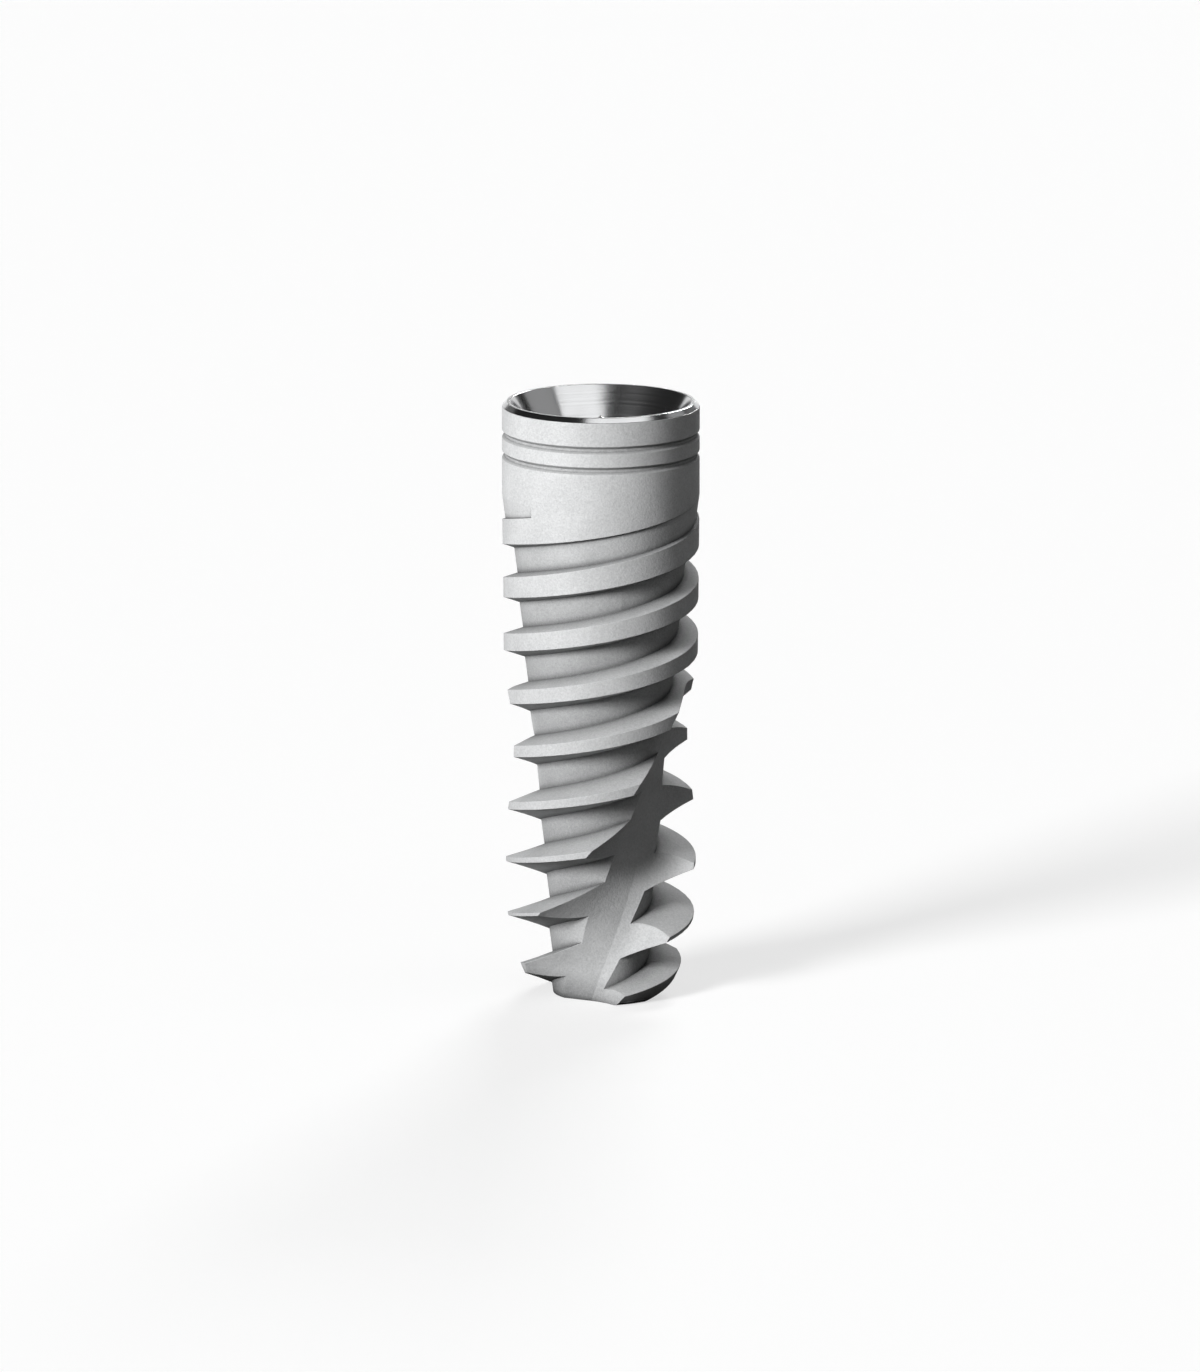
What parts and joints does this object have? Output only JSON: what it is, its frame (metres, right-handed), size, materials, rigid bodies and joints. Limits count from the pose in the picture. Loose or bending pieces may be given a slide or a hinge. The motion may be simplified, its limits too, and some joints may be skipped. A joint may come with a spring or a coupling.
{
  "type": "dental implant",
  "caption": "Root-form dental implant screw with a tapered bone thread, helical cutting flutes, a ringed neck and an internal hexagon for the abutment.",
  "frame": {"origin": "centre of the flat apex, the lowest point of the implant", "axes": "+Z along the implant's axis from the apex to the platform; -Y faces the pictured side"},
  "size_m": [0.0038, 0.0038, 0.0115],
  "materials": {
    "blasted_titanium": "grit-blasted and etched matte grey titanium, with the inner cone and rim left as turned"
  },
  "bodies": {
    "root": {"implant_fixture": "blasted_titanium"}
  },
  "joints": []
}
